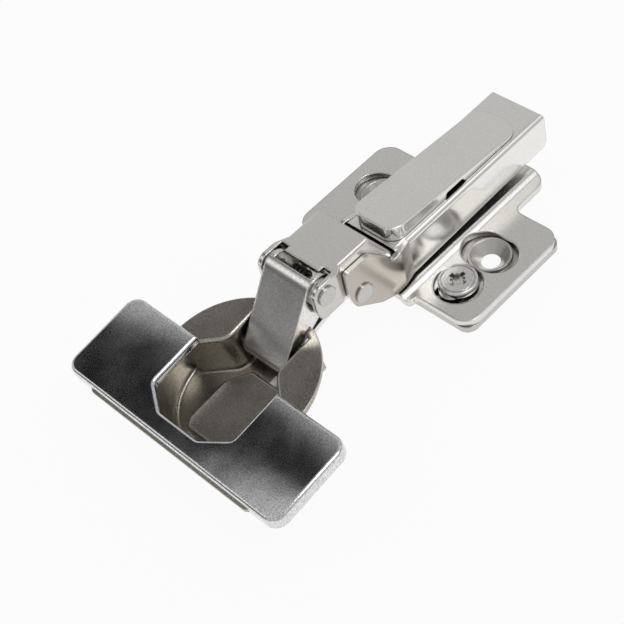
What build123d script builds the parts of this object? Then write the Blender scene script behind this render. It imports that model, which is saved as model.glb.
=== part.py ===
from build123d import *
from math import atan2, cos, degrees, hypot, radians, sin
import os

# Concealed cup hinge with clip-on arm and height-adjusting mounting plate, shown open.
# Row frame: +Z away from the cabinet side, +X toward the door, +Y toward the cam screw.
# The origin is the middle of the two plate screws, on the face that lies on the cabinet side.

# Mounting plate: fixed base plate below, sliding wing plate above
screw_spacing = 32.0
screw_hole_r = 2.15
screw_sink_r = 4.4
boss_r = 4.9
boss_rise = 0.95
base_t = 1.5
wing_t = 1.6
slide_gap = 0.1
window_clearance = 0.1
height_travel = 1.7
wing_rear_x = -12.5
wing_front_x = 18.5
wing_half_w = 25.8
wing_corner_r = 4.0
wing_bend_r = 1.1
base_inset = 0.1
base_corner_r = 2.6
ridge_foot_y = 9.8
ridge_top_y = 8.7
ridge_rise = 0.7
tail_x = -24.2
tail_half_w = 12.6
nose_x = 20.8
nose_half_w = 11.4
rail_half_w = 4.9
rail_top_z = 9.3
rail_rear_x = -18.0
rail_front_x = 12.2

# Height cam screw
cam_x = 10.7
cam_y = 16.4
cam_throw = 2.0
cam_disc_r = 2.9
cam_slot_play = 0.26
cam_dish_r = 5.4
cam_dish_depth = 0.5
cam_head_r = 4.35
cam_head_h = 1.5
cam_rim_r = 3.75
cam_head_lift = 0.2
cam_shank_r = 1.5
cam_rivet_r = 2.9
cam_rivet_h = 0.6
bore_play = 0.05

# Clip carrier that snaps on the plate's rail
carrier_half_w = 6.1
carrier_t = 1.0
carrier_top_z = 12.6
carrier_bottom_z = 5.2
carrier_rear_x = -27.0
carrier_front_x = 12.6
hook_pin_x = 10.2
hook_pin_z = 7.0
hook_pin_r = 1.5
latch_pin_x = -22.5
latch_pin_z = 10.4
latch_pin_r = 1.0
pivot_pin_x = -14.6
pivot_pin_z = 10.55
pivot_pin_r = 0.95
depth_travel = 1.7

# Arm channel
arm_rear_x = -30.3
arm_length = 48.4
arm_front_x = arm_rear_x + arm_length
arm_half_w = 7.67
arm_top_z = 14.8
arm_t = 1.15
arm_bend_r = 1.4
arm_bottom_rear_z = 6.0
arm_bottom_front_z = 4.55
ear_half_w = 8.5
ear_front_x = arm_front_x + 15.1
ear_joggle_x = arm_front_x - 3.6
ear_joggle_run = 3.4
ear_top_z = 21.9

# Arm head, nested in the channel
head_top_z = 24.3
head_t = 1.1
head_bead_r = 0.9
head_half_w = 7.25
head_tongue = 3.2
head_flare = 2.0
crank_run = 6.2
cheek_half_w = 8.25
cheek_reach = 3.2
cheek_bottom_z = 15.5
relief_half_w = 4.9
relief_depth = 1.4

# Link pivots on the arm
outer_pivot_x = arm_front_x + 20.4
outer_pivot_z = 21.0
inner_pivot_x = arm_front_x + 11.43
inner_pivot_z = 13.38
head_gap = 2.0
arm_pin_r = 1.5
rivet_head_r = 2.3
rivet_head_h = 0.55

# Cap over the adjusting screws
cap_rear_x = -24.4
cap_front_x = arm_front_x - 0.7
cap_half_w = 6.2
cap_rear_h = 0.5
cap_gap = 0.12
cap_rear_r = 4.5
cap_edge_r = 0.3
cap_front_h = 4.0
cap_t = 0.7
cap_corner_r = 3.6
cap_notch_rear_x = -6.0
cap_notch_front_x = 0.9
cap_notch_h = 1.3

# Adjusting screws under the cap
depth_cam_x = -9.5
depth_cam_r = 3.4
depth_cam_throw = 2.0
depth_cam_pin_r = 1.1
depth_slot_play = 0.2
side_screw_x = 5.0
side_screw_r = 2.3
side_neck_r = 1.3
side_foot_r = 1.9
side_screw_play = 0.3

# Cup, in its own frame: x away from the knuckle along the door, z out of the door
cup_x = outer_pivot_x + 21.2
cup_z = 10.5
cup_tilt = 7.2
cup_r = 17.5
cup_lead = 0.3
cup_mouth_r = 0.8
cup_foot_r = 1.6
cup_foot_slack = 0.8
cup_depth = 11.5
cup_t = 1.0
flange_r = cup_r + 0.95
flange_t = 1.0
collar_h = 2.0
waist_half_w = 7.2
waist_front_x = -5.0
waist_side_x = 1.0
waist_side_y = cup_r - 3.1
waist_r = 4.0
rear_notch_half_w = 6.6
rear_notch_depth = 5.6
cup_screw_x = 9.5
cup_screw_spacing = 45.0
cup_screw_r = 2.6
foot_rear_x = -0.6
foot_front_x = 20.6
foot_half_w = 30.6
foot_strip_half_w = 23.2
foot_end_x = 16.0

# Cover over the cup screws
cover_rear_x = -1.4
cover_front_x = 20.1
cover_half_w = 32.0
cover_top_z = 3.0
cover_t = 0.7
cover_corner_r = 3.2
cover_edge_r = 0.8
cover_notch_half_w = 11.9
cover_notch_side_x = 11.6
cover_notch_front_x = 15.7
cover_notch_front_half_w = 5.7

# Pivots in the cup, in the cup frame
outer_cup_x = 8.77 - cup_r
outer_cup_z = -4.12
inner_cup_x = 4.96 - cup_r
inner_cup_z = -3.72
outer_cup_pin_r = 1.1
inner_cup_pin_r = 1.0

# Links
outer_link_half_w = 6.2
outer_link_t = 1.2
outer_link_shoulder_r = 3.93
outer_link_eye_r = 1.95
outer_link_flange_t = 1.1
inner_link_half_w = 4.4
inner_link_t = 1.2
inner_link_eye_r = 1.85
open_pivot_play = 1.25
open_pivot_wall = 1.0
washer_r = 3.2

# Damper in the cup floor
damper_top_z = -6.4
damper_front_x = cup_r - 4.3
damper_rear_x = -4.6
damper_far_y = -6.4
damper_near_y = 10.4
damper_edge_r = 0.7
piston_r = 1.3
piston_travel = 2.2


# Drawing helpers: a profile drawn on a plane and pulled along the axis across it
def across(profile, y0, y1):
    return extrude(Plane(origin=(0, y1, 0), x_dir=(1, 0, 0), z_dir=(0, -1, 0)) * profile, amount=y1 - y0)


def along(profile, x0, x1):
    return extrude(Plane(origin=(x0, 0, 0), x_dir=(0, 1, 0), z_dir=(1, 0, 0)) * profile, amount=x1 - x0)


def upward(profile, z0, z1):
    return extrude(Plane.XY.offset(z0) * profile, amount=z1 - z0)


def outline(*points):
    return make_face(Polyline(*points, close=True))


def soft_outline(points, radii):
    return make_face(FilletPolyline(*points, radius=radii, close=True))


def slab(x0, x1, y0, y1, z0, z1):
    return upward(Pos((x0 + x1) / 2, (y0 + y1) / 2) * Rectangle(x1 - x0, y1 - y0), z0, z1)


def rod(x, z, r, y0, y1):
    return across(Pos(x, z) * Circle(r), y0, y1)


def post(x, y, r, z0, z1):
    return upward(Pos(x, y) * Circle(r), z0, z1)


def both_sides(shape):
    return shape + mirror(shape, about=Plane.XZ)


# Values worked out from the driving sizes
wing_z = base_t + slide_gap
wing_top_z = wing_z + wing_t
ridge_z = wing_top_z + ridge_rise
window_half_x = boss_r + window_clearance
window_half_y = window_half_x + height_travel
hole_y = screw_spacing / 2
arm_inner_w = arm_half_w - arm_t
arm_inner_z = arm_top_z - arm_t
head_rear_x = arm_front_x + crank_run
head_front_x = outer_pivot_x - head_gap
head_tongue_x = arm_front_x - head_tongue
cheek_front_x = outer_pivot_x + cheek_reach
head_inner_w = head_half_w - head_t
cheek_inner_w = cheek_half_w - head_t
cup_place = Location((cup_x, 0, cup_z), (0, cup_tilt, 0))


def cup_to_row(x, z):
    a = radians(cup_tilt)
    return (cup_x + x * cos(a) + z * sin(a), cup_z - x * sin(a) + z * cos(a))


outer_end = cup_to_row(outer_cup_x, outer_cup_z)
inner_end = cup_to_row(inner_cup_x, inner_cup_z)


# Mounting plate
def base_plate():
    x0, x1, w = wing_rear_x + base_inset, wing_front_x - base_inset, wing_half_w - base_inset
    plan = soft_outline([(x0, -w), (x1, -w), (x1, w), (x0, w)], base_corner_r)
    plate = upward(plan, 0, base_t)
    top = base_t + boss_rise
    for y in (-hole_y, hole_y):
        plate += post(0, y, boss_r, 0, top)
        plate -= post(0, y, screw_hole_r, -1, top + 1)
        sink = screw_sink_r - screw_hole_r
        plate -= Pos(0, y, top - sink / 2) * Cone(screw_hole_r, screw_sink_r, sink)
    plate -= post(cam_x, cam_y, cam_shank_r + bore_play, -1, base_t + 1)
    plate -= post(cam_x, cam_y, cam_rivet_r + bore_play, -1, cam_rivet_h + 0.1)
    return plate


def hat_section(rail):
    mid = wing_t / 2
    half = [
        (wing_half_w + 1, wing_top_z - mid), (ridge_foot_y, wing_top_z - mid),
        (ridge_top_y, ridge_z - mid),
    ]
    if rail:
        half += [(rail_half_w - mid, ridge_z - mid), (rail_half_w - mid, rail_top_z - mid)]
    line = FilletPolyline(*half, *[(-y, z) for y, z in reversed(half)], radius=wing_bend_r)
    return trace(line, wing_t)


def wing_plate():
    section = along(hat_section(True), rail_rear_x, rail_front_x)
    section += along(hat_section(False), tail_x, rail_rear_x)
    section += along(hat_section(False), rail_front_x, nose_x)
    w, r = wing_half_w, wing_corner_r
    corners = [
        (wing_rear_x, w), (wing_front_x, w), (wing_front_x, nose_half_w), (nose_x, nose_half_w),
        (nose_x, -nose_half_w), (wing_front_x, -nose_half_w), (wing_front_x, -w), (wing_rear_x, -w),
        (wing_rear_x, -tail_half_w), (tail_x, -tail_half_w),
        (tail_x, tail_half_w), (wing_rear_x, tail_half_w),
    ]
    radii = [r, r, 0.8, 1.2, 1.2, 0.8, r, r, 2.0, 3.6, 3.6, 2.0]
    plate = section & upward(soft_outline(corners, radii), 0, rail_top_z + 1)
    window = SlotOverall(window_half_y * 2, window_half_x * 2, rotation=90)
    for y in (-hole_y, hole_y):
        plate -= upward(Pos(0, y) * window, 0, ridge_z)
    slot_x = (cam_throw + cam_disc_r + cam_slot_play) * 2
    slot_y = (cam_disc_r + cam_slot_play) * 2
    plate -= upward(Pos(cam_x, cam_y) * RectangleRounded(slot_x, slot_y, 1.6), 0, wing_top_z + 1)
    plate -= post(cam_x, cam_y, cam_dish_r, wing_top_z - cam_dish_depth, wing_top_z + 1)
    notch = rod(hook_pin_x, hook_pin_z, hook_pin_r + bore_play, -rail_half_w - 1, rail_half_w + 1)
    plate -= notch
    top = hook_pin_z + hook_pin_r + bore_play
    low = hook_pin_z - hook_pin_r - bore_play
    plate -= slab(hook_pin_x, rail_front_x + 1, -rail_half_w - 1, rail_half_w + 1, low, top)
    return plate


def driver_recess(r, depth):
    wings = Rectangle(r * 2, r * 0.5) + Rectangle(r * 0.5, r * 2)
    wings += Rot(0, 0, 45) * (Rectangle(r * 1.5, r * 0.3) + Rectangle(r * 0.3, r * 1.5))
    return upward(wings, -depth, 1)


def height_cam():
    head_z = wing_top_z + cam_head_lift
    top = head_z + cam_head_h
    head = chamfer(post(cam_x, cam_y, cam_head_r, head_z, top).edges().group_by(Axis.Z)[-1], 0.3)
    head -= upward(Pos(cam_x, cam_y) * (Circle(cam_rim_r) - Circle(cam_rim_r - 0.2)), top - 0.15, top + 1)
    disc = post(cam_x + cam_throw, cam_y, cam_disc_r, wing_z, head_z)
    shank = post(cam_x, cam_y, cam_shank_r, 0.1, wing_z + 0.1)
    tail = post(cam_x, cam_y, cam_rivet_r, 0.1, cam_rivet_h)
    return head + disc + shank + tail - Pos(cam_x, cam_y, top) * driver_recess(2.1, 1.1)


# Clip carrier and latch
def carrier():
    w, z1, t = carrier_half_w, carrier_top_z, carrier_t
    x0, x1, z0 = carrier_rear_x, carrier_front_x, carrier_bottom_z
    top_x = rail_rear_x + 0.6
    side = soft_outline([(x0, z0 + 1), (x1 - 2, z0), (x1, z0 + 2), (x1, z1 - 1), (x1 - 1, z1), (x0, z1)], 0.6)
    body = across(side, -w, w)
    body -= slab(x0 - 1, x1 + 1, -w + t, w - t, z0 - 1, z1 - t)
    body -= slab(x0 - 1, top_x, -w + t, w - t, z0 - 1, z1 + 1)
    body -= rod(hook_pin_x, hook_pin_z, hook_pin_r, -w - 1, w + 1)
    body -= rod(latch_pin_x, latch_pin_z, latch_pin_r, -w - 1, w + 1)
    reach = (depth_travel + pivot_pin_r + bore_play) * 2
    pivot_slot = Pos(pivot_pin_x, pivot_pin_z) * SlotOverall(reach, (pivot_pin_r + bore_play) * 2)
    body -= across(pivot_slot, -w - 1, w + 1)
    slot_x = (depth_cam_pin_r + depth_slot_play) * 2
    slot_y = (depth_cam_throw + depth_cam_pin_r + depth_slot_play) * 2
    body -= upward(Pos(depth_cam_x, 0) * RectangleRounded(slot_x, slot_y, 1.0), z1 - t - 1, z1 + 1)
    long_x = (depth_travel + side_neck_r + depth_slot_play) * 2
    wide = (side_neck_r + depth_slot_play) * 2
    body -= upward(Pos(side_screw_x, 0) * SlotOverall(long_x, wide), z1 - t - 1, z1 + 1)
    return body


def cross_pin(x, z, r, half, head_r=0.0, head_h=0.0):
    pin = rod(x, z, r, -half, half)
    if head_h > 0:
        head = chamfer(rod(x, z, head_r, half - head_h, half).edges().group_by(Axis.Y)[-1], head_h * 0.3)
        pin += both_sides(head)
    return pin


def clip_latch():
    bore = latch_pin_r + bore_play
    px, pz = latch_pin_x, latch_pin_z
    web = rail_top_z - wing_t
    tip_x = rail_rear_x + 1.6
    hook = soft_outline(
        [(px - 1.2, pz - 1.9), (px + 1.0, pz - 4.4), (tip_x, web - 2.4), (tip_x + 0.3, web - 0.4),
         (rail_rear_x - 0.6, web - 0.9), (px + 1.7, pz + 0.8), (px - 1.2, pz + 1.7)], 0.35)
    tab = soft_outline(
        [(px + 0.6, pz + 1.7), (px - 2.2, pz + 0.9), (px - 6.4, pz - 2.0), (px - 5.8, pz - 3.1),
         (px - 1.6, pz - 1.4), (px + 0.6, pz - 1.7)], 0.35)
    body = across(hook, -2.9, 2.9) + across(tab, -4.4, 4.4)
    body += rod(px, pz, latch_pin_r + 0.95, -4.4, 4.4)
    body -= slab(px - 2.4, px + 2.4, -1.6, 1.6, pz - 2.3, pz + 3)
    return body - rod(px, pz, bore, -5, 5)


def coil(x, z, r, wire, turns):
    pitch = wire * 1.15
    y0 = -pitch * turns / 2
    helix = Helix(pitch=pitch, height=pitch * turns, radius=r)
    path = Plane(origin=(x, y0, z), x_dir=(1, 0, 0), z_dir=(0, 1, 0)) * helix
    start = Plane(origin=path @ 0, z_dir=path % 0)
    return sweep(start * Circle(wire / 2), path=path)


def latch_spring():
    r = latch_pin_r + 0.5
    return coil(latch_pin_x, latch_pin_z, r, 0.55, 2)


# Arm
def ear_walls():
    x0, x1 = ear_joggle_x, ear_joggle_x + ear_joggle_run
    end, slip = ear_front_x + 1, 0.3
    plan = outline(
        (x0, arm_half_w), (x1, ear_half_w), (end, ear_half_w), (end, ear_half_w - arm_t),
        (x1 + slip, ear_half_w - arm_t), (x0 + slip, arm_inner_w), (x0, arm_inner_w))
    return both_sides(upward(plan, 0, head_top_z))


def channel_side():
    front, top, low = arm_front_x, arm_top_z, arm_bottom_front_z
    points = [
        (arm_rear_x, top), (arm_rear_x, arm_bottom_rear_z + 1.1), (arm_rear_x + 1.0, arm_bottom_rear_z),
        (front + 3.3, low), (front + 7.2, low + 1.5),
        (ear_front_x - 1.0, inner_pivot_z - 2.1), (ear_front_x, inner_pivot_z + 1.4),
        (ear_front_x - 0.3, ear_top_z), (front + 8.1, ear_top_z - 0.1),
        (front + 4.3, top + 2.8), (front + 2.2, top - 0.3), (front, top),
    ]
    return soft_outline(points, [0.3, 0.5, 0.5, 4.0, 3.0, 3.0, 2.0, 0.9, 2.6, 3.0, 0.8, 0.2])


def arm_channel():
    w, t, z = arm_half_w, arm_t, arm_top_z
    outer = RectangleRounded(w * 2, z * 2, arm_bend_r)
    tube = along(outer, arm_rear_x, arm_front_x)
    tube -= slab(arm_rear_x - 1, arm_front_x + 1, -w + t, w - t, -z - 1, z - t)
    body = (tube + ear_walls()) & across(channel_side(), -w - 3, w + 3)
    body -= rod(inner_pivot_x, inner_pivot_z, arm_pin_r, -w - 3, w + 3)
    body -= rod(pivot_pin_x, pivot_pin_z, pivot_pin_r, -w + t - 0.5, w - t + 0.5)
    body -= post(depth_cam_x, 0, depth_cam_r + bore_play, z - t - 1, z + 1)
    body -= post(side_screw_x, 0, side_screw_r + side_screw_play, z - t - 1, z + 1)
    return body


def head_solid(drop, w_rear, w_front, x_end, z_low):
    foot_x, foot_z = arm_front_x + 0.1, arm_inner_z
    run, rise = head_rear_x - foot_x, head_top_z - foot_z
    lean = drop * (hypot(run, rise) - run) / rise
    foot, knee = (foot_x + lean, foot_z - drop), (head_rear_x + lean, head_top_z - drop)
    side = outline(
        (head_tongue_x, foot[1]), foot, knee, (x_end, knee[1]), (x_end, z_low), (head_tongue_x, z_low))
    flare_0, flare_1 = ear_front_x - 0.2, ear_front_x - 0.2 + head_flare
    half = [(head_tongue_x, w_rear), (flare_0, w_rear), (flare_1, w_front), (x_end, w_front)]
    plan = outline(*half, *[(x, -y) for x, y in reversed(half)])
    return across(side, -20, 20) & upward(plan, 0, 40)


def arm_head():
    wide, high = cheek_half_w + 1, head_top_z + 1
    outer = head_solid(0, head_half_w, cheek_half_w, cheek_front_x, 8.0)
    ridge_edges = [
        e for e in outer.edges()
        if (e @ 0.5).Z > arm_top_z + 1 and abs((e @ 0.5).Y) > head_half_w - 0.4
        and abs((e % 0.5).Z) < 0.9 and (e @ 0.5).X < ear_front_x + head_flare
    ]
    outer = fillet(ridge_edges, head_bead_r)
    body = outer - head_solid(head_t, head_inner_w, cheek_inner_w, cheek_front_x + 1, 6.0)
    body -= slab(head_tongue_x - 1, arm_front_x, -wide, wide, 0, arm_inner_z - head_t)
    body -= both_sides(slab(head_tongue_x - 1, arm_front_x + 0.1, arm_inner_w - 0.1, wide, 0, high))
    low_z, neck_x = inner_pivot_z - 3.0, arm_front_x + 1.4
    side = soft_outline(
        [(head_tongue_x - 1, high), (head_tongue_x - 1, low_z + 1.6), (neck_x, low_z),
         (ear_front_x - 2.6, low_z), (ear_front_x + 0.2, cheek_bottom_z),
         (cheek_front_x - 0.6, cheek_bottom_z), (cheek_front_x, outer_pivot_z - 2.5),
         (cheek_front_x, head_top_z), (head_front_x, head_top_z + 0.001), (head_front_x, high)],
        [0.1, 0.5, 0.5, 1.0, 1.0, 1.8, 1.2, 2.4, 0.001, 0.1])
    body &= across(side, -wide, wide)
    body -= slab(head_front_x, cheek_front_x + 1, -cheek_inner_w, cheek_inner_w, outer_pivot_z, high)
    relief_x, relief_z = head_front_x - relief_depth, outer_pivot_z
    body -= both_sides(slab(relief_x, cheek_front_x + 1, relief_half_w, cheek_inner_w + 0.02, relief_z, high))
    body -= rod(outer_pivot_x, outer_pivot_z, arm_pin_r, -wide, wide)
    body -= rod(inner_pivot_x, inner_pivot_z, arm_pin_r, -wide, wide)
    return body


def cap_wedge(inset, drop, low):
    x0, x1, w = cap_rear_x + inset, cap_front_x - inset, cap_half_w - inset
    front, rear = cap_corner_r - inset, cap_rear_r - inset
    plan = soft_outline([(x0, -w), (x1, -w), (x1, w), (x0, w)], [rear, front, front, rear])
    rise = (cap_front_h - cap_rear_h) / (cap_front_x - cap_rear_x)
    z0 = arm_top_z + cap_rear_h - drop
    z1 = z0 + rise * (x1 + inset - cap_rear_x + 1)
    side = outline(
        (cap_rear_x - 1, low), (cap_front_x + 1, low), (cap_front_x + 1, z1), (cap_rear_x - 1, z0 - rise))
    return upward(plan, low - 1, arm_top_z + 9) & across(side, -w - 1, w + 1)


def arm_cap():
    outer = cap_wedge(0, 0, arm_top_z + cap_gap)
    rim = outer.faces().sort_by(Axis.Z)[-1].edges()
    outer = fillet(rim, cap_edge_r)
    body = outer - cap_wedge(cap_t, cap_t, arm_top_z - 1)
    notch = outline(
        (cap_notch_rear_x - 0.9, arm_top_z - 1), (cap_notch_front_x + 0.6, arm_top_z - 1),
        (cap_notch_front_x - 0.5, arm_top_z + cap_notch_h), (cap_notch_rear_x + 1.4, arm_top_z + cap_notch_h))
    return body - across(notch, cap_half_w - cap_t - 1, cap_half_w + 1)


def depth_cam():
    x, z = depth_cam_x, arm_inner_z
    top = arm_top_z + 0.35
    screw = post(x, 0, depth_cam_r, z - 0.2, top) + post(x, 0, depth_cam_r + 0.5, z - 0.45, z - 0.05)
    low = carrier_top_z - carrier_t - 0.3
    screw += post(x, depth_cam_throw, depth_cam_pin_r, low, z - 0.1)
    return screw - Pos(x, 0, top) * driver_recess(1.9, 1.0)


def side_screw():
    x, top = side_screw_x, arm_top_z + 1.6
    screw = post(x, 0, side_screw_r, carrier_top_z + 0.75, top)
    screw += post(x, 0, side_neck_r, carrier_top_z - carrier_t - 0.8, carrier_top_z + 0.8)
    screw += post(x, 0, side_foot_r, carrier_top_z - carrier_t - 1.4, carrier_top_z - carrier_t - 0.75)
    return screw - Pos(x, 0, top) * driver_recess(1.7, 1.0)


# Links
def link_frame(x, z, end):
    turn = degrees(atan2(end[1] - z, end[0] - x))
    return Location((x, 0, z), (0, -turn, 0))


def tangent_pair(r0, r1, length):
    lean = (r0 - r1) / length
    up = (1 - lean * lean) ** 0.5
    return lean, up


def outer_link():
    length = hypot(outer_end[0] - outer_pivot_x, outer_end[1] - outer_pivot_z)
    lean, up = tangent_pair(outer_link_shoulder_r, outer_link_eye_r, length)
    r0, r1, t = outer_link_shoulder_r, outer_link_eye_r, outer_link_t
    web = outline(
        (r0 * lean, r0 * up), (length + r1 * lean, r1 * up),
        (length + (r1 - t) * lean, (r1 - t) * up), ((r0 - t) * lean, (r0 - t) * up))
    shoulder = Circle(r0) - Circle(r0 - t)
    sweep_end = 40
    wedge = outline(
        (0, 0), (9 * lean, 9 * up), (9 * cos(radians(sweep_end + 70)), 9 * sin(radians(sweep_end + 70))),
        (9 * cos(radians(sweep_end + 86)), 9 * sin(radians(sweep_end + 86))))
    shoulder &= wedge
    eye = Pos(length, 0) * Circle(r1)
    w = outer_link_half_w
    plate = across(web + shoulder + eye, -w, w)
    flange = soft_outline(
        [(-3.4, -1.2), (-0.5, -3.5), (5.6, -3.1), (8.8, -2.1), (13.0, 0.1), (length, 0.2),
         (length + (r1 - 0.4) * lean, r1 - 0.4), ((r0 - 0.3) * lean, r0 - 0.3), (-2.2, 2.8)],
        [1.5, 1.5, 1.0, 1.0, 0.8, 0.05, 0.2, 0.6, 1.2])
    flange += Circle(r0 - 0.2)
    plate += both_sides(across(flange, w - outer_link_flange_t, w))
    plate -= rod(0, 0, arm_pin_r + bore_play, -w - 1, w + 1)
    plate -= rod(length, 0, outer_cup_pin_r + bore_play, -w - 1, w + 1)
    return link_frame(outer_pivot_x, outer_pivot_z, outer_end) * plate


def inner_link():
    length = hypot(inner_end[0] - inner_pivot_x, inner_end[1] - inner_pivot_z)
    big = arm_pin_r + open_pivot_play
    rim = big + open_pivot_wall
    t = inner_link_t
    bow = FilletPolyline((0, -rim + t * 0.8), (7.0, -0.9), (length - 3.0, -0.6), (length, -0.3), radius=4.0)
    bar = trace(bow, line_width=t)
    shape = bar + Circle(rim) + Pos(length, 0) * Circle(inner_link_eye_r)
    shape -= Circle(big)
    shape -= Pos(length, 0) * Circle(inner_cup_pin_r + bore_play)
    w = inner_link_half_w
    return link_frame(inner_pivot_x, inner_pivot_z, inner_end) * across(shape, -w, w)


def link_washers():
    ring = Circle(washer_r) - Circle(arm_pin_r + bore_play)
    place = Pos(outer_pivot_x, outer_pivot_z)
    return both_sides(across(place * ring, outer_link_half_w + 0.05, cheek_inner_w - 0.05))


def closing_spring():
    r = arm_pin_r + 0.6
    return coil(outer_pivot_x, outer_pivot_z, r, 0.9, 4)


# Cup
def waist(grow):
    w, sx, sy = waist_half_w + grow, waist_side_x, waist_side_y + grow
    corner = (waist_front_x - grow * 0.4, w)
    cut = soft_outline([(-30, w), corner, (sx - grow * 0.4, sy), (sx - grow * 0.4, 40), (-30, 40)],
                       [0.2, waist_r - grow * 0.6, 1.2, 0.2, 0.2])
    return cut + mirror(cut, about=Plane.XZ)


def foot_outline():
    w, s = foot_half_w, foot_strip_half_w
    right = [(foot_front_x, -s), (foot_front_x, s), (foot_end_x, w), (foot_rear_x + 1, w)]
    points = right + [(foot_rear_x + 1, -w), (foot_end_x, -w)]
    return Circle(flange_r) + soft_outline(points, [0.8, 0.8, 2.5, 2.0, 2.0, 2.5])


def cup_shell():
    flange = upward(foot_outline(), 0, flange_t)
    outer = upward(Circle(cup_r - cup_lead) - waist(cup_t), -cup_depth, 0)
    outer = fillet(outer.edges().group_by(Axis.Z)[0], cup_foot_r)
    collar = upward(Circle(cup_r), -collar_h, 0) - upward(Circle(cup_r - cup_t), -collar_h - 1, 1)
    inner = upward(Circle(cup_r - cup_t) - waist(0), -cup_depth + cup_t, flange_t + 1)
    inner = fillet(inner.edges().group_by(Axis.Z)[0], cup_foot_r - cup_foot_slack)
    cup = flange + outer + collar - inner
    rims = cup.edges().group_by(Axis.Z)[-1]
    mouth = [e for e in rims if hypot((e @ 0.5).X, (e @ 0.5).Y) < cup_r - cup_t / 2]
    cup = fillet(mouth, cup_mouth_r)
    for y in (-cup_screw_spacing / 2, cup_screw_spacing / 2):
        cup -= post(cup_screw_x, y, cup_screw_r, -1, flange_t + 1)
    w = rear_notch_half_w
    cup -= slab(-flange_r - 1, -waist_half_w, -w, w, -rear_notch_depth, flange_t + 1)
    cup -= rod(outer_cup_x, outer_cup_z, outer_cup_pin_r, -waist_half_w - 3, waist_half_w + 3)
    cup -= rod(inner_cup_x, inner_cup_z, inner_cup_pin_r, -waist_half_w - 3, waist_half_w + 3)
    return cup_place * cup


def cover_plan(inset):
    x0, x1, w = cover_rear_x + inset, cover_front_x - inset, cover_half_w - inset
    r = cover_corner_r - inset
    body = soft_outline([(x0, -w), (x1, -w), (x1, w), (x0, w)], r)
    nx, nw = cover_notch_side_x + inset * 0.5, cover_notch_half_w + inset
    fx, fw = cover_notch_front_x + inset, cover_notch_front_half_w + inset * 0.6
    notch = soft_outline(
        [(x0 - 5, -nw), (nx, -nw), (fx, -fw), (fx, fw), (nx, nw), (x0 - 5, nw)],
        [0.5, 1.6, 1.6, 1.6, 1.6, 0.5])
    return body - notch


def cup_cover():
    outer = upward(cover_plan(0), 0.05, cover_top_z)
    outer = fillet(outer.edges().group_by(Axis.Z)[-1], cover_edge_r)
    inner = upward(cover_plan(cover_t), -1, cover_top_z - cover_t)
    body = outer - inner
    clear = offset(foot_outline(), 0.1)
    body -= upward(clear, -1, flange_t)
    return cup_place * body


def cup_pin(x, z, r):
    half = waist_half_w + cup_t + 0.6
    return cup_place * cross_pin(x, z, r, half, r + 0.4, 0.5)


def damper_outline():
    x0, x1, far, near = damper_rear_x, damper_front_x, damper_far_y, damper_near_y
    points = [
        (x0, far + 4.0), (0.4, far + 0.4), (x1 - 2.0, far), (x1, far + 1.4),
        (x1, near - 5.4), (8.6, near), (x0, near - 3.6),
    ]
    return soft_outline(points, [1.2, 3.0, 1.2, 0.8, 3.0, 3.0, 1.2])


def damper_housing():
    floor = -cup_depth + cup_t
    body = upward(damper_outline(), floor, damper_top_z)
    body = fillet(body.edges().group_by(Axis.Z)[-1], damper_edge_r)
    z = (floor + damper_top_z) / 2
    bore = Plane(origin=(damper_rear_x - 1, 3.0, z), z_dir=(1, 0, 0)) * Circle(piston_r + bore_play)
    return cup_place * (body - extrude(bore, amount=7.2))


def damper_piston():
    z = (-cup_depth + cup_t + damper_top_z) / 2
    start = Plane(origin=(damper_rear_x - piston_travel - 0.2, 3.0, z), z_dir=(1, 0, 0))
    pin = extrude(start * Circle(piston_r), amount=piston_travel + 4.0)
    return cup_place * chamfer(pin.edges().group_by(Axis.X)[0], 0.25)


def arm_pin(x, z, wall):
    half = wall + rivet_head_h
    return cross_pin(x, z, arm_pin_r, half, rivet_head_r, rivet_head_h)


NODES = {
    "base_plate": base_plate,
    "wing_plate": wing_plate,
    "height_cam": height_cam,
    "clip_carrier": carrier,
    "hook_pin": lambda: cross_pin(hook_pin_x, hook_pin_z, hook_pin_r, carrier_half_w + 0.2),
    "latch_pin": lambda: cross_pin(latch_pin_x, latch_pin_z, latch_pin_r, carrier_half_w + 0.2),
    "clip_latch": clip_latch,
    "latch_spring": latch_spring,
    "arm_pivot_pin": lambda: cross_pin(pivot_pin_x, pivot_pin_z, pivot_pin_r - 0.04, arm_inner_w + 0.4),
    "arm_channel": arm_channel,
    "arm_head": arm_head,
    "arm_cap": arm_cap,
    "depth_cam": depth_cam,
    "side_screw": side_screw,
    "outer_arm_pin": lambda: arm_pin(outer_pivot_x, outer_pivot_z, cheek_half_w),
    "inner_arm_pin": lambda: arm_pin(inner_pivot_x, inner_pivot_z, ear_half_w),
    "link_washers": link_washers,
    "closing_spring": closing_spring,
    "outer_link": outer_link,
    "inner_link": inner_link,
    "outer_cup_pin": lambda: cup_pin(outer_cup_x, outer_cup_z, outer_cup_pin_r),
    "inner_cup_pin": lambda: cup_pin(inner_cup_x, inner_cup_z, inner_cup_pin_r),
    "cup_shell": cup_shell,
    "cup_cover": cup_cover,
    "damper_housing": damper_housing,
    "damper_piston": damper_piston,
}

os.makedirs("parts", exist_ok=True)
for node, make in NODES.items():
    export_step(make(), f"parts/{node}.step")
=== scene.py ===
import bpy
from math import cos, radians, sin
from mathutils import Matrix, Vector


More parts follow.
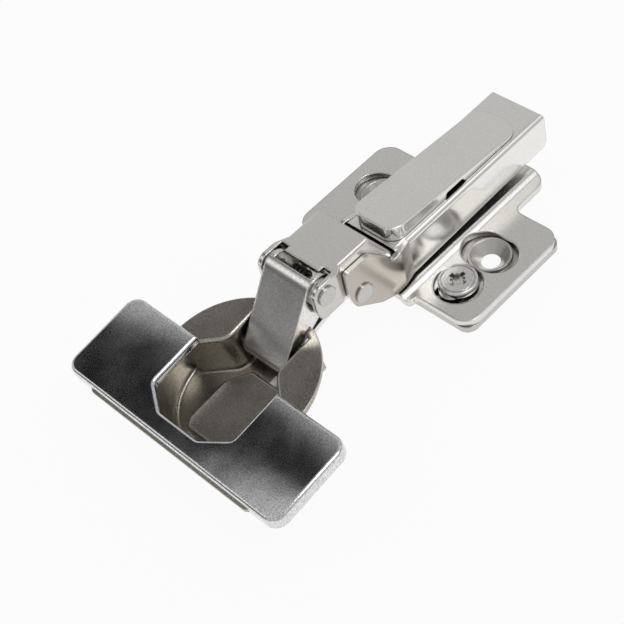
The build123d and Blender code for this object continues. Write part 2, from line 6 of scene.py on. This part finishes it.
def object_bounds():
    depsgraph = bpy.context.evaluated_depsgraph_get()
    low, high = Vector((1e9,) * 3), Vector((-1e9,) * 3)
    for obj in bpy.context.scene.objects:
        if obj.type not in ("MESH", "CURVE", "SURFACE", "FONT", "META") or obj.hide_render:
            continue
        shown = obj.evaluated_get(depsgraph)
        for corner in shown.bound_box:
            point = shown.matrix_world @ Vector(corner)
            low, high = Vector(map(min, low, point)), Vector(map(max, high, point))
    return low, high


# A concealed cup hinge of nickel-plated pressed steel on a plain white ground.
# Lengths are in metres and angles in degrees.

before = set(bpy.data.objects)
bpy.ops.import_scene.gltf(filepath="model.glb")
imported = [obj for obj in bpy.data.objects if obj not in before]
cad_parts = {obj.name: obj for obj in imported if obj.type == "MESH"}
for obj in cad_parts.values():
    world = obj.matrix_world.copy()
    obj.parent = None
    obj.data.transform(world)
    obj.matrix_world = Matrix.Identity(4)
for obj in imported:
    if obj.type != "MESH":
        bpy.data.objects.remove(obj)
cad_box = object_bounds()
MM = 0.001
WHITE = (1, 1, 1, 1)

# Camera: the direction and distance at which it stands from its target, its roll and its lens in mm
CAMERA_AZIMUTH = 147.20
CAMERA_ELEVATION = 48.95
CAMERA_ROLL = -16.67
CAMERA_DISTANCE = 302.1 * MM
CAMERA_TARGET = Vector((38.11, 0.75, 10.0)) * MM
CAMERA_LENS = 83.75
SENSOR_WIDTH = 36.0
CLIP_START = 10.0 * MM

# Ground, with room for the cup, which swings and tilts up to 4 mm lower than it lies at rest
FLOOR_DROP = 4.2 * MM
FLOOR_SIZE = 4.0
FLOOR_COLOUR = (0.86, 0.86, 0.86)
# Share of plain white in the ground that the camera sees, and in the ground that mirrors on the part
FLOOR_WHITE = 0.93
FLOOR_GLOSS = 0.93

# Light of the room around the part, by the height of the direction (0 level, 1 overhead)
ROOM = (
    (0.00, 0.48),
    (0.30, 0.52),
    (0.60, 0.62),
    (0.75, 0.53),
    (1.00, 0.50),
)
# Panels in that room: azimuth, elevation, half angle, soft edge, strength
PANELS = (
    # two dark flags that the cup's cover and flange mirror
    (355.0, 57.0, 6.0, 7.5, 0.01),
    (4.0, 50.0, 6.0, 7.0, 0.01),
    # lamp that the front corner of the cover mirrors
    (15.0, 65.0, 3.0, 6.0, 0.72),
    # lamp that the outer link's shoulder and the cover's front rounding mirror
    (42.0, 37.0, 9.0, 9.0, 1.1),
    # dim wall that the outer link's web mirrors
    (55.0, 12.0, 14.0, 14.0, 0.14),
    # light panel that the bends facing the camera mirror
    (214.0, 56.0, 9.0, 9.0, 1.6),
)
# Softbox: azimuth and elevation from the camera's target, distance, width, height, watts
KEY_LIGHT = (200.0, 65.0, 0.9, 0.35, 0.35, 1.5)

# Rays that find a rounded edge or a gap
SHADER_RAYS = 6
# Edge roundings that the light catches on pressed sheet
EDGE_ROUND = 0.3 * MM
BEND_ROUND = 0.6 * MM
# Textures of metal, each with its scale per metre and its detail:
# fine satin grain, soft clouds in the polish and slow waves in pressed sheet
GRAIN = (3200.0, 2.0)
CLOUDS = (90.0, 3.0)
WAVES = (130.0, 1.0)
GRAIN_DEPTH = 0.01 * MM
WAVE_DEPTH = 0.03 * MM
CLOUD_ROUGHNESS = (-0.03, 0.04)
# Part of the noise that a texture spreads over its whole span
NOISE_SPAN = (0.3, 0.7)

# Painted shade in gaps and recesses: how far a gap reaches to darken the metal in it,
# the open share of view at which it is fully shaded and at which it is unshaded, and the painted shade
# colour
PAINTED_SHADE_REACH = 3.2 * MM
PAINTED_SHADE_OPEN = (0.12, 0.48)
PAINTED_SHADE_COLOUR = (0.10, 0.095, 0.085, 1)
# Painted reflection on the upright faces of the arm and its head: where along the arm they start
# to turn to a painted tone of what stands beside them and would mirror on them, where they have it, and
# the tone
ARM_PAINTED_REFLECTION = (11.0 * MM, 19.0 * MM, (0.50, 0.465, 0.42, 1))
HEAD_PAINTED_REFLECTION = (18.0 * MM, 24.0 * MM, (0.62, 0.60, 0.565, 1))
# Dome of the cup's cover: centre, tilt, and its bows along and across in 1/m
COVER_DOME = (Vector((69.0, 0.0, 10.0)) * MM, 7.2, 8.3, 0.6)

# Moulded plastic: how dark its specks are, textures for specks, sheen and skin, and their sizes
SPECK_SHADE = 0.92
SPECKS = (400.0, 4.0)
SHEEN = (1200.0, 3.0)
SHEEN_ROUGHNESS = 0.05
SKIN = (3000.0, 2.0)
SKIN_DEPTH = 0.02 * MM
SKIN_STRENGTH = 0.1


def toward(azimuth, elevation):
    """The direction of a place in the room. Azimuth 0 is towards -Y and 90 is towards +X."""
    a, e = radians(azimuth), radians(elevation)
    return Vector((sin(a) * cos(e), -cos(a) * cos(e), sin(e)))


def add_camera():
    a, r = radians(CAMERA_AZIMUTH), radians(CAMERA_ROLL)
    back = toward(CAMERA_AZIMUTH, CAMERA_ELEVATION)
    level = Vector((cos(a), sin(a), 0.0))
    rise = back.cross(level)
    right = level * cos(r) + rise * sin(r)
    up = rise * cos(r) - level * sin(r)
    data = bpy.data.cameras.new("camera")
    data.lens = CAMERA_LENS
    data.sensor_width = SENSOR_WIDTH
    data.clip_start = CLIP_START
    camera = bpy.data.objects.new("camera", data)
    turn = Matrix((right, up, back)).transposed().to_4x4()
    camera.matrix_world = Matrix.Translation(CAMERA_TARGET + back * CAMERA_DISTANCE) @ turn
    bpy.context.collection.objects.link(camera)
    bpy.context.scene.camera = camera


def add_softbox(azimuth, elevation, distance, width, height, watts):
    away = toward(azimuth, elevation)
    data = bpy.data.lights.new("key", "AREA")
    data.shape = "RECTANGLE"
    data.size = width
    data.size_y = height
    data.energy = watts
    lamp = bpy.data.objects.new("key", data)
    lamp.location = CAMERA_TARGET + away * distance
    lamp.rotation_euler = away.to_track_quat("Z", "Y").to_euler()
    bpy.context.collection.objects.link(lamp)


class Tree:
    """The node tree of a material or a world, cleared and built up node by node."""

    def __init__(self, owner):
        owner.use_nodes = True
        self.nodes, self.links = owner.node_tree.nodes, owner.node_tree.links
        self.nodes.clear()

    def add(self, kind, inputs=None, **settings):
        """Adds a node. An input is either another node's output, which is linked, or a value."""
        node = self.nodes.new("ShaderNode" + kind)
        for name, value in settings.items():
            setattr(node, name, value)
        for place, value in (inputs or {}).items():
            if isinstance(value, bpy.types.NodeSocket):
                self.links.new(value, node.inputs[place])
            else:
                node.inputs[place].default_value = value
        return node

    def blend(self, share, start, end):
        """A colour between two colours."""
        mix = self.add("Mix", {"Factor": share, "A": start, "B": end}, data_type="RGBA")
        return mix.outputs["Result"]


# World and ground
def add_world():
    """The room of light around the part. The camera itself sees plain white."""
    world = bpy.data.worlds.new("studio")
    bpy.context.scene.world = world
    tree = Tree(world)
    place = tree.add("TexCoord")
    split = tree.add("SeparateXYZ", {0: place.outputs["Generated"]})
    room = tree.add("FloatCurve", {"Value": split.outputs["Z"]})
    curve = room.mapping.curves[0]
    curve.points[0].location = ROOM[0]
    curve.points[1].location = ROOM[-1]
    for stop in ROOM[1:-1]:
        curve.points.new(*stop)
    room.mapping.update()
    level = room.outputs["Value"]
    for azimuth, elevation, half, soft, strength in PANELS:
        lean = tree.add(
            "VectorMath", {0: place.outputs["Generated"], 1: toward(azimuth, elevation)},
            operation="DOT_PRODUCT")
        mask = tree.add("MapRange", {
            "Value": lean.outputs["Value"],
            "From Min": cos(radians(half + soft)),
            "From Max": cos(radians(half)),
        }, interpolation_type="SMOOTHSTEP")
        panel = tree.add("Mix", {"Factor": mask.outputs["Result"], "A": level, "B": strength})
        level = panel.outputs["Result"]
    sky = tree.add("Background", {"Color": WHITE, "Strength": level})
    plain = tree.add("Background", {"Color": WHITE})
    path = tree.add("LightPath")
    mix = tree.add("MixShader", {
        0: path.outputs["Is Camera Ray"],
        1: sky.outputs[0],
        2: plain.outputs[0],
    })
    tree.add("OutputWorld", {"Surface": mix.outputs[0]})


def add_floor(low):
    """The ground under the part: mostly plain white to the camera and in mirrors, and matt to light."""
    material = bpy.data.materials.new("floor")
    tree = Tree(material)
    matt = tree.add("BsdfDiffuse", {"Color": (*FLOOR_COLOUR, 1)})
    white = tree.add("Emission")
    path = tree.add("LightPath")
    seen = tree.add("Math", {
        0: path.outputs["Is Camera Ray"],
        1: path.outputs["Is Transmission Ray"],
    }, operation="MAXIMUM")
    mirrored = tree.add(
        "Math", {0: path.outputs["Is Glossy Ray"], 1: FLOOR_GLOSS}, operation="MULTIPLY")
    share = tree.add(
        "Math", {0: seen.outputs[0], 1: FLOOR_WHITE, 2: mirrored.outputs[0]},
        operation="MULTIPLY_ADD")
    mix = tree.add("MixShader", {0: share.outputs[0], 1: matt.outputs[0], 2: white.outputs[0]})
    tree.add("OutputMaterial", {"Surface": mix.outputs[0]})
    bpy.ops.mesh.primitive_plane_add(size=FLOOR_SIZE, location=(0, 0, low - FLOOR_DROP))
    floor = bpy.context.object
    floor.name = "floor"
    floor.data.materials.append(material)


# Textures and finishes
def noise(tree, texture, low=0.0, high=1.0):
    """A value that drifts from low to high over the part."""
    scale, detail = texture
    place = tree.add("TexCoord")
    drift = tree.add("TexNoise", {
        "Vector": place.outputs["Object"],
        "Scale": scale,
        "Detail": detail,
    })
    span = tree.add("MapRange", {
        "Value": drift.outputs["Fac"],
        "From Min": NOISE_SPAN[0],
        "From Max": NOISE_SPAN[1],
        "To Min": low,
        "To Max": high,
    })
    return span.outputs["Result"]


def relief(tree, height, depth, strength, under=None):
    """The normal of a surface that rises by a height, on top of the normal under it."""
    inputs = {"Strength": strength, "Distance": depth, "Height": height}
    if under:
        inputs["Normal"] = under
    return tree.add("Bump", inputs).outputs["Normal"]


def crown(tree, centre, tilt, bow_x, bow_y):
    """Height of a gently domed top, in metres, which falls off by its bows from the centre."""
    place = tree.add("TexCoord")
    local = tree.add("Mapping", {
        "Vector": place.outputs["Object"],
        "Location": centre,
        "Rotation": (0.0, radians(tilt), 0.0),
    }, vector_type="TEXTURE")
    square = tree.add(
        "VectorMath", {0: local.outputs["Vector"], 1: local.outputs["Vector"]}, operation="MULTIPLY")
    fall = tree.add(
        "VectorMath", {0: square.outputs["Vector"], 1: (-bow_x / 2, -bow_y / 2, 0.0)},
        operation="DOT_PRODUCT")
    return fall.outputs["Value"]


def paint_crevice_shade(tree, colour):
    """The colour, darkened by painted shade in narrow gaps and recesses."""
    near = tree.add("AmbientOcclusion", {"Distance": PAINTED_SHADE_REACH}, samples=SHADER_RAYS)
    unshaded = tree.add("MapRange", {
        "Value": near.outputs["AO"],
        "From Min": PAINTED_SHADE_OPEN[0],
        "From Max": PAINTED_SHADE_OPEN[1],
    })
    return tree.blend(unshaded.outputs["Result"], PAINTED_SHADE_COLOUR, colour)


def paint_side_reflection(tree, colour, start, end, shade):
    """The colour, turned to a painted reflection of darker surroundings on the upright faces from a
    start to an end along the arm.
    """
    place = tree.add("TexCoord")
    along = tree.add("SeparateXYZ", {0: place.outputs["Object"]})
    reach = tree.add("MapRange", {
        "Value": along.outputs["X"],
        "From Min": start,
        "From Max": end,
    }, interpolation_type="SMOOTHSTEP")
    facing = tree.add("SeparateXYZ", {0: place.outputs["Normal"]})
    upright = tree.add("Math", {0: facing.outputs["Y"]}, operation="ABSOLUTE")
    share = tree.add(
        "Math", {0: reach.outputs["Result"], 1: upright.outputs[0]}, operation="MULTIPLY")
    return tree.blend(share.outputs[0], colour, shade)


def metal(name, dark, light, rough, grain=0.10, wave=0.5, dome=None, rounding=EDGE_ROUND, painted_reflection=None):
    """A plated metal whose satin grain runs between a dark and a light tone."""
    material = bpy.data.materials.new(name)
    tree = Tree(material)
    colour = tree.blend(noise(tree, GRAIN), (*dark, 1), (*light, 1))
    # the upright faces take a painted reflection of darker surroundings
    if painted_reflection:
        colour = paint_side_reflection(tree, colour, *painted_reflection)
    normal = None
    if rounding:
        edges = tree.add("Bevel", {"Radius": rounding}, samples=SHADER_RAYS)
        normal = edges.outputs["Normal"]
    if dome:
        normal = relief(tree, crown(tree, *dome), depth=1.0, strength=1.0, under=normal)
    normal = relief(tree, noise(tree, WAVES), WAVE_DEPTH, wave, normal)
    normal = relief(tree, noise(tree, GRAIN), GRAIN_DEPTH, grain, normal)
    smooth, coarse = (rough + change for change in CLOUD_ROUGHNESS)
    shader = tree.add("BsdfPrincipled", {
        "Metallic": 1.0,
        # base colour darkened by painted shade in gaps and recesses
        "Base Color": paint_crevice_shade(tree, colour),
        "Roughness": noise(tree, CLOUDS, smooth, coarse),
        "Normal": normal,
    })
    tree.add("OutputMaterial", {"Surface": shader.outputs[0]})
    return material


def plastic(name, colour, rough):
    material = bpy.data.materials.new(name)
    tree = Tree(material)
    speck = [tone * SPECK_SHADE for tone in colour]
    shader = tree.add("BsdfPrincipled", {
        "Base Color": tree.blend(noise(tree, SPECKS), (*speck, 1), (*colour, 1)),
        "Roughness": noise(tree, SHEEN, rough - SHEEN_ROUGHNESS, rough + SHEEN_ROUGHNESS),
        "Normal": relief(tree, noise(tree, SKIN), SKIN_DEPTH, SKIN_STRENGTH),
    })
    tree.add("OutputMaterial", {"Surface": shader.outputs[0]})
    return material


def dress(material, *names):
    for name in names:
        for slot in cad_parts[name].material_slots:
            slot.material = material


def dress_all():
    # mounting plate and clip
    dress(
        metal("plate_nickel", dark=(0.70, 0.685, 0.66), light=(0.80, 0.785, 0.76), rough=0.22,
              rounding=BEND_ROUND),
        "wing_plate")
    dress(
        metal("clip_nickel", dark=(0.66, 0.645, 0.62), light=(0.80, 0.785, 0.76), rough=0.22),
        "clip_carrier", "clip_latch")
    # base plate: a darker copy of the plate's nickel, painted shade of the lower layer under the wing
    # plate
    dress(
        metal("base_nickel_painted_shade", dark=(0.50, 0.485, 0.46), light=(0.60, 0.585, 0.56), rough=0.28),
        "base_plate")
    # arm and links
    # arm and head carry a painted reflection on their upright faces
    dress(
        metal("arm_nickel", dark=(0.80, 0.79, 0.765), light=(0.88, 0.87, 0.845), rough=0.2,
              painted_reflection=ARM_PAINTED_REFLECTION),
        "arm_channel")
    dress(
        metal("head_nickel", dark=(0.73, 0.72, 0.69), light=(0.80, 0.79, 0.76), rough=0.22,
              rounding=BEND_ROUND, painted_reflection=HEAD_PAINTED_REFLECTION),
        "arm_head")
    dress(
        metal("link_nickel", dark=(0.66, 0.65, 0.625), light=(0.92, 0.91, 0.88), rough=0.22,
              grain=0.06, rounding=BEND_ROUND),
        "outer_link")
    dress(
        metal("cap_nickel", dark=(0.76, 0.75, 0.72), light=(0.86, 0.85, 0.82), rough=0.2),
        "arm_cap", "inner_link")
    # cup
    # cup shell and damper housing: the cup's nickel made darker, painted shade of the cup's hollow
    dress(
        metal("cover_nickel", dark=(0.48, 0.48, 0.48), light=(0.92, 0.92, 0.925), rough=0.13,
              dome=COVER_DOME),
        "cup_cover")
    dress(
        metal("cup_nickel", dark=(0.32, 0.30, 0.268), light=(0.56, 0.525, 0.47), rough=0.28,
              wave=0.25),
        "cup_shell", "damper_housing")
    dress(plastic("piston_plastic", (0.75, 0.75, 0.73), rough=0.4), "damper_piston")
    # screws, pins and springs
    dress(
        metal("screw_steel", dark=(0.66, 0.65, 0.63), light=(0.80, 0.79, 0.77), rough=0.2),
        "height_cam", "depth_cam", "side_screw")
    dress(
        metal("pin_steel", dark=(0.50, 0.49, 0.47), light=(0.62, 0.61, 0.59), rough=0.25),
        "hook_pin", "latch_pin", "arm_pivot_pin", "outer_arm_pin", "inner_arm_pin",
        "outer_cup_pin", "inner_cup_pin", "link_washers")
    dress(
        metal("spring_steel", dark=(0.02, 0.02, 0.02), light=(0.04, 0.04, 0.045), rough=0.35,
              rounding=None),
        "latch_spring", "closing_spring")


add_camera()
add_floor(cad_box[0][2])
add_world()
add_softbox(*KEY_LIGHT)
dress_all()

bpy.context.scene.view_settings.view_transform = "Standard"
